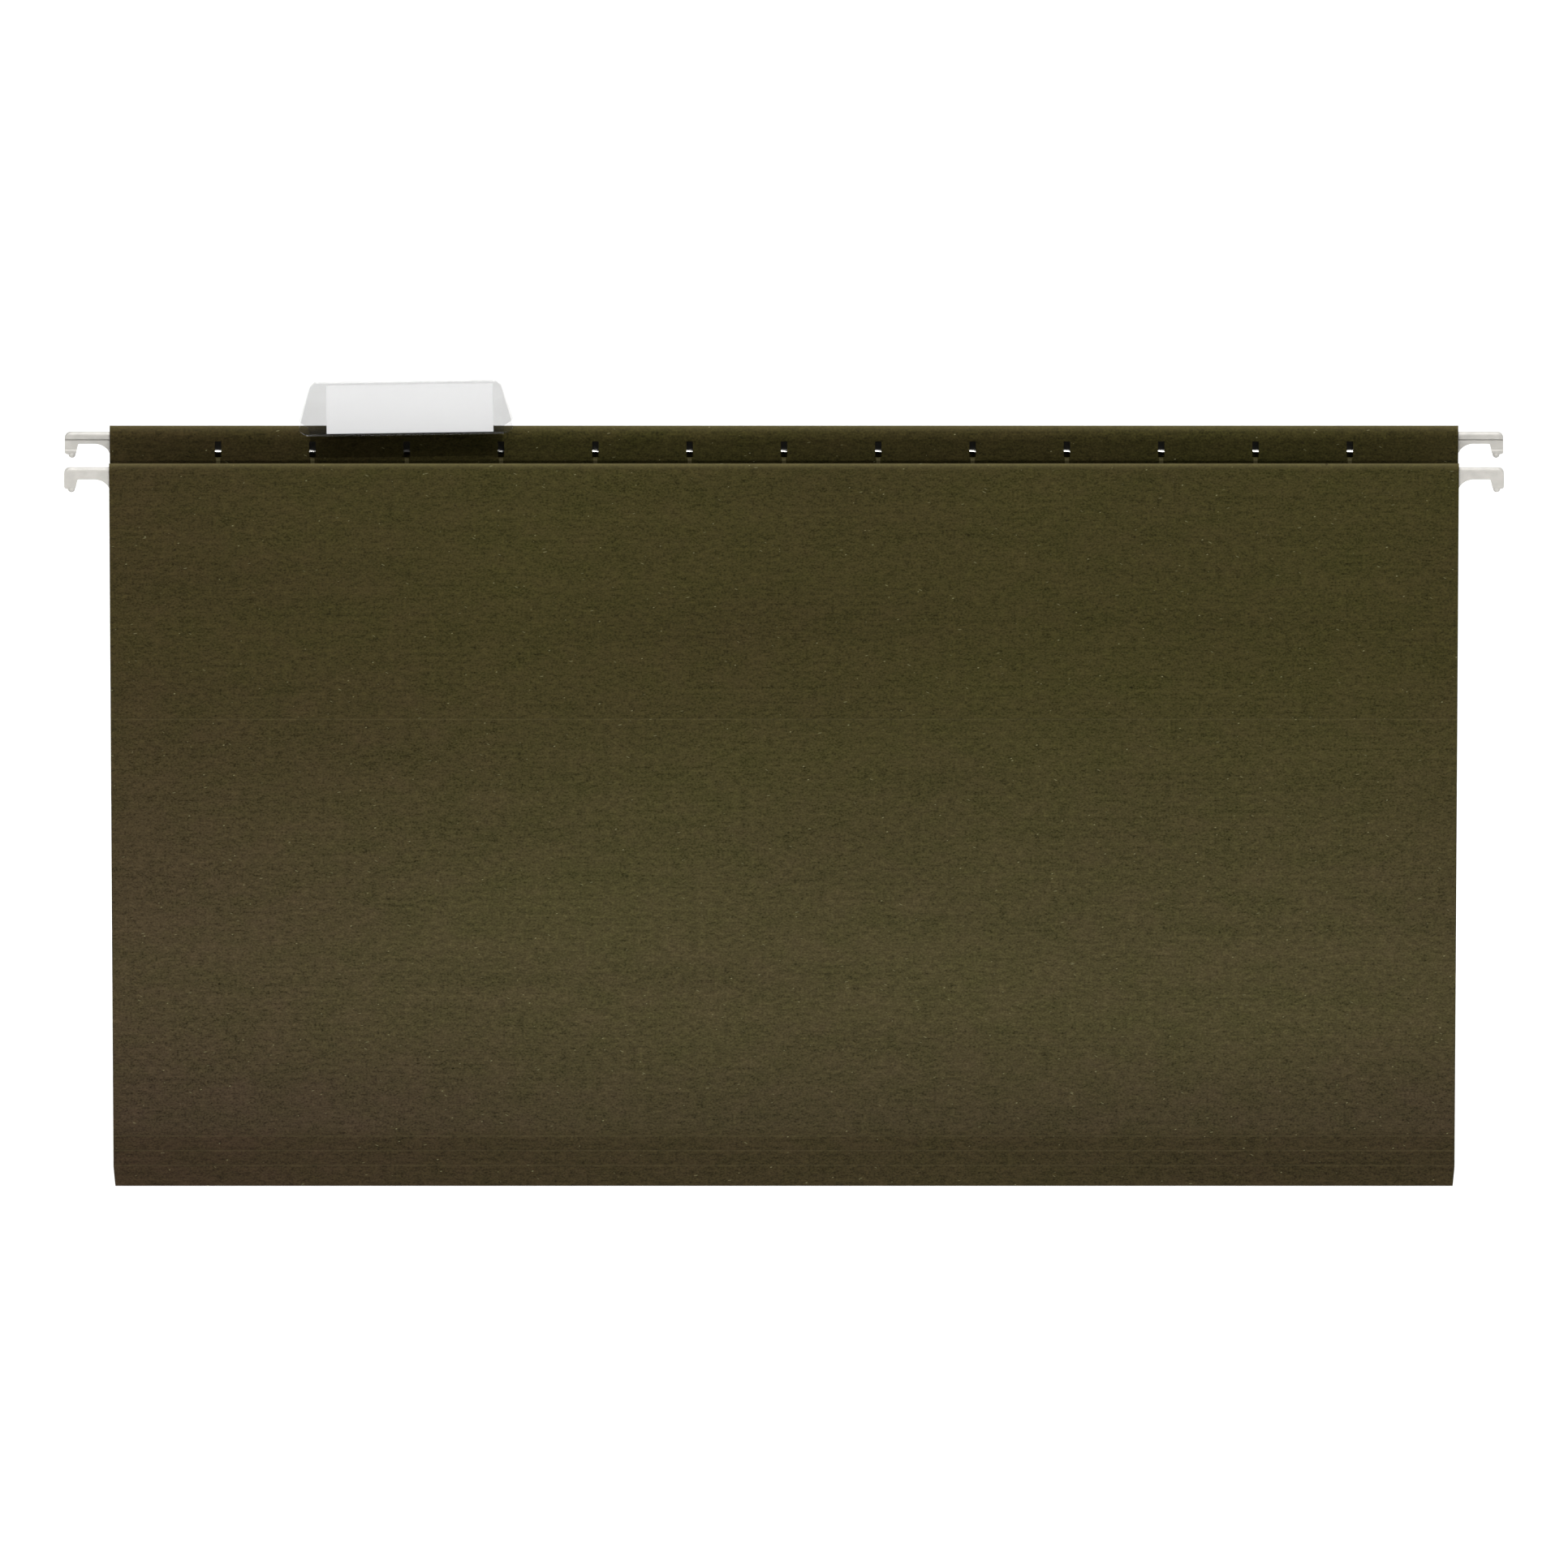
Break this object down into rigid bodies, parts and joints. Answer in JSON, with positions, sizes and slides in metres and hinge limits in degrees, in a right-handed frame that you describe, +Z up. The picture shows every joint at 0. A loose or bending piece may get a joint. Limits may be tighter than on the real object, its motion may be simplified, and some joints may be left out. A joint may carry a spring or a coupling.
{
  "type": "hanging file folder",
  "caption": "Legal-size hanging file folder: folded olive card with a scored bottom, steel rods with coated hooks in the top hems, a row of tab slots and a clear index tab with a paper label.",
  "frame": {"origin": "middle of the bottom fold, at the foot of the folder", "axes": "+X to the right along the width as seen from the front, +Y through the folder from the front panel to the back panel, +Z up"},
  "size_m": [0.3996, 0.0224, 0.254],
  "materials": {
    "card": "matte",
    "rod_steel": "satin",
    "hook_coat": "satin",
    "glue": "satin",
    "clear_plastic": "gloss",
    "label_paper": "matte"
  },
  "bodies": {
    "back_rod_body": {"back_rod": "rod_steel", "back_left_hook_coat": "hook_coat", "back_right_hook_coat": "hook_coat"},
    "back_half": {"back_panel": "card", "back_hem": "card", "back_hem_glue": "glue"},
    "front_half": {"front_panel": "card", "front_hem": "card", "front_hem_glue": "glue"},
    "front_rod_body": {"front_rod": "rod_steel", "front_left_hook_coat": "hook_coat", "front_right_hook_coat": "hook_coat"},
    "tab": {"index_tab": "clear_plastic"},
    "label": {"label_insert": "label_paper"}
  },
  "joints": [
    {"name": "back_rod_slide", "type": "slide", "parent": "back_rod_body", "child": "back_half", "axis": [1, 0, 0], "range_m": [-0.002, 0.002]},
    {"name": "bottom_fold", "type": "hinge", "parent": "back_half", "child": "front_half", "pos_m": [0, 0, 0.00028], "axis": [1, 0, 0], "range_deg": [-3.9, 174.72]},
    {"name": "front_rod_slide", "type": "slide", "parent": "front_half", "child": "front_rod_body", "axis": [1, 0, 0], "range_m": [-0.002, 0.002]},
    {"name": "tab_lift", "type": "slide", "parent": "back_half", "child": "tab", "axis": [0, 0.0461, 0.9989], "range_m": [0, 0.03], "deforming": ["index_tab"]},
    {"name": "label_slide", "type": "slide", "parent": "tab", "child": "label", "axis": [0.9999, 0.0007, 0.0162], "range_m": [-0.058, 0.058]}
  ]
}
